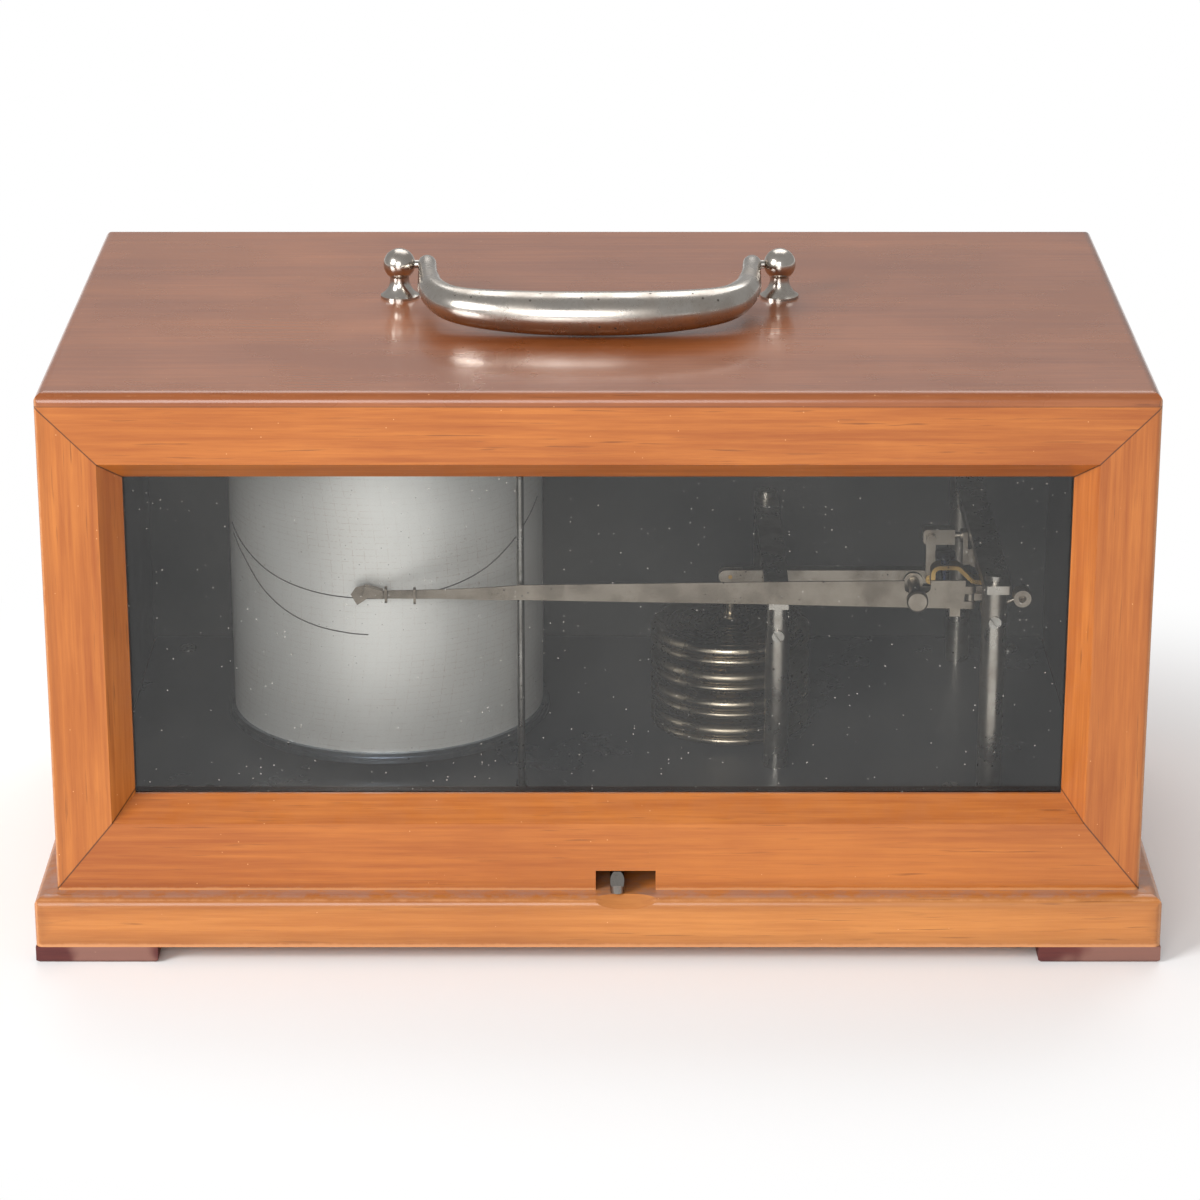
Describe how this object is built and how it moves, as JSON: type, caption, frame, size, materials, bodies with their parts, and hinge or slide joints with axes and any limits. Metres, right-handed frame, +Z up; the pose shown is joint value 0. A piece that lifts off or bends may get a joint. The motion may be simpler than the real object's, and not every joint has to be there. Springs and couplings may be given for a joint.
{
  "type": "barograph",
  "caption": "Recording barometer: aneroid stack and pen lever beside a clock-driven chart drum, on a wooden base under a glazed wooden lift-off cover with a nickel handle",
  "frame": {"origin": "centre of the four feet's undersides, in the plane they stand on", "axes": "+X along the case to the right seen from the glazed front, +Y to the back, +Z up"},
  "size_m": [0.3138, 0.183, 0.1785],
  "materials": {
    "base_wood": "worn satin varnish",
    "feet_wood": "dull dark stain, worn",
    "platform_wood": "dark stain, matt",
    "case_wood": "worn gloss varnish",
    "black_lining": "matt black",
    "bead_wood": "dark stain, matt",
    "window_glass": "clear",
    "floor_metal": "gloss dark paint",
    "nickel_plate": "tarnished nickel plate",
    "capsule_metal": "tarnished nickel, satin",
    "steel_screws": "polished, spotted",
    "steel_train": "satin",
    "brass_parts": "aged",
    "blued_steel": "blued, glossy",
    "pen_metal": "satin",
    "lifter_metal": "polished, spotted",
    "drum_metal": "satin",
    "chart_paper": "uncoated, printed grid",
    "movement_brass": "satin"
  },
  "bodies": {
    "base": {"base_plinth": "base_wood", "platform_board": "platform_wood", "corner_feet": "feet_wood", "floor_plate": "floor_metal", "plate_screws": "steel_screws", "lifter_pivot": "steel_screws", "left_pillars": "nickel_plate", "right_pillars": "nickel_plate", "left_bar": "nickel_plate", "right_bar": "nickel_plate", "bar_screws": "steel_screws", "pivot_screws": "steel_screws", "capsules": "capsule_metal", "capsule_stud": "capsule_metal", "drum_spindle": "movement_brass", "fixed_gear": "movement_brass", "drum_nut": "nickel_plate"},
    "drum": {"drum_shell": "drum_metal", "drum_flange": "drum_metal", "chart_paper": "chart_paper", "chart_clip": "drum_metal", "clock_movement": "movement_brass", "mainspring_barrel": "movement_brass"},
    "pinion": {"walking_pinion": "movement_brass"},
    "pen_lifter": {"lifter_rod": "lifter_metal", "lifter_crank": "lifter_metal", "lifter_finger": "lifter_metal"},
    "pen_train": {"pen_arbor": "steel_train", "crank_arm": "steel_train", "crank_block": "steel_train", "crank_pin": "steel_train", "crank_nuts": "steel_train", "adjusting_strap": "brass_parts", "gate_carrier": "steel_train", "gate_pin": "steel_train", "balance_bob": "steel_train"},
    "adjuster": {"adjusting_screw": "blued_steel"},
    "thumb": {"thumbscrew": "steel_train"},
    "pen": {"pen_arm": "pen_metal", "pen_nib": "pen_metal", "nib_clips": "pen_metal"},
    "lever": {"main_lever": "steel_train", "lever_arbor": "steel_train", "lever_pins": "brass_parts"},
    "link": {"lever_link": "steel_train"},
    "stack_head": {"capsule_head": "capsule_metal"},
    "cover": {"top_board": "case_wood", "top_rail": "case_wood", "bottom_rail": "case_wood", "left_stile": "case_wood", "right_stile": "case_wood", "left_side": "case_wood", "right_side": "case_wood", "back_panel": "case_wood", "case_lining": "black_lining", "front_glass": "window_glass", "glass_beads": "bead_wood", "handle_posts": "nickel_plate"},
    "handle": {"handle_bail": "nickel_plate", "handle_pins": "steel_screws"}
  },
  "joints": [
    {"name": "cover_lift", "type": "slide", "parent": "base", "child": "cover", "axis": [0, 0, 1], "range_m": [0, 0.13]},
    {"name": "handle_swing", "type": "hinge", "parent": "cover", "child": "handle", "pos_m": [-0.0025, 0.01, 0.1739], "axis": [-1, 0, 0], "range_deg": [0, 188]},
    {"name": "drum_spin", "type": "hinge", "parent": "base", "child": "drum", "pos_m": [-0.0625, 0.0104, 0.085], "axis": [0, 0, 1], "continuous": true},
    {"name": "pinion_spin", "type": "hinge", "parent": "drum", "child": "pinion", "pos_m": [-0.0625, 0.0254, 0.0387], "axis": [0, 0, 1], "continuous": true},
    {"name": "pen_lift", "type": "hinge", "parent": "base", "child": "pen_lifter", "pos_m": [0.0053, -0.0426, 0.0212], "axis": [0, 0, 1], "range_deg": [0, 9.5]},
    {"name": "pen_swing", "type": "hinge", "parent": "base", "child": "pen_train", "pos_m": [0.1113, 0.003, 0.0876], "axis": [0, 1, 0], "range_deg": [-10, 10], "stiffness_Nm_per_rad": 1},
    {"name": "adjuster_turn", "type": "hinge", "parent": "pen_train", "child": "adjuster", "pos_m": [0.0994, -0.0256, 0.098], "axis": [0, 0, 1], "continuous": true},
    {"name": "thumbscrew_turn", "type": "hinge", "parent": "pen_train", "child": "thumb", "pos_m": [0.089, -0.05, 0.0956], "axis": [0, 1, 0], "continuous": true},
    {"name": "pen_gate", "type": "hinge", "parent": "pen_train", "child": "pen", "pos_m": [0.105, -0.0452, 0.0922], "axis": [0, 0, 1], "range_deg": [0, 1.8]},
    {"name": "lever_swing", "type": "hinge", "parent": "base", "child": "lever", "pos_m": [0.0515, 0.0029, 0.0757], "axis": [0, 1, 0], "range_deg": [-3.1, 3.1]},
    {"name": "link_tilt", "type": "hinge", "parent": "lever", "child": "link", "pos_m": [0.0974, 0, 0.0814], "axis": [0, 1, 0], "range_deg": [-9.5, 9.5]},
    {"name": "stack_rise", "type": "slide", "parent": "base", "child": "stack_head", "axis": [0, 0, 1], "range_m": [-0.0007, 0.0007], "deforming": ["capsules"]}
  ],
  "couplings": [
    {"joint": "pinion_spin", "follows": "drum_spin", "ratio": 4},
    {"joint": "lever_swing", "follows": "pen_swing", "ratio": -0.3028},
    {"joint": "link_tilt", "follows": "pen_swing", "ratio": 0.94},
    {"joint": "stack_rise", "follows": "pen_swing", "m_per_rad": -0.003876},
    {"joint": "pen_gate", "follows": "pen_lift", "ratio": 0.175}
  ]
}
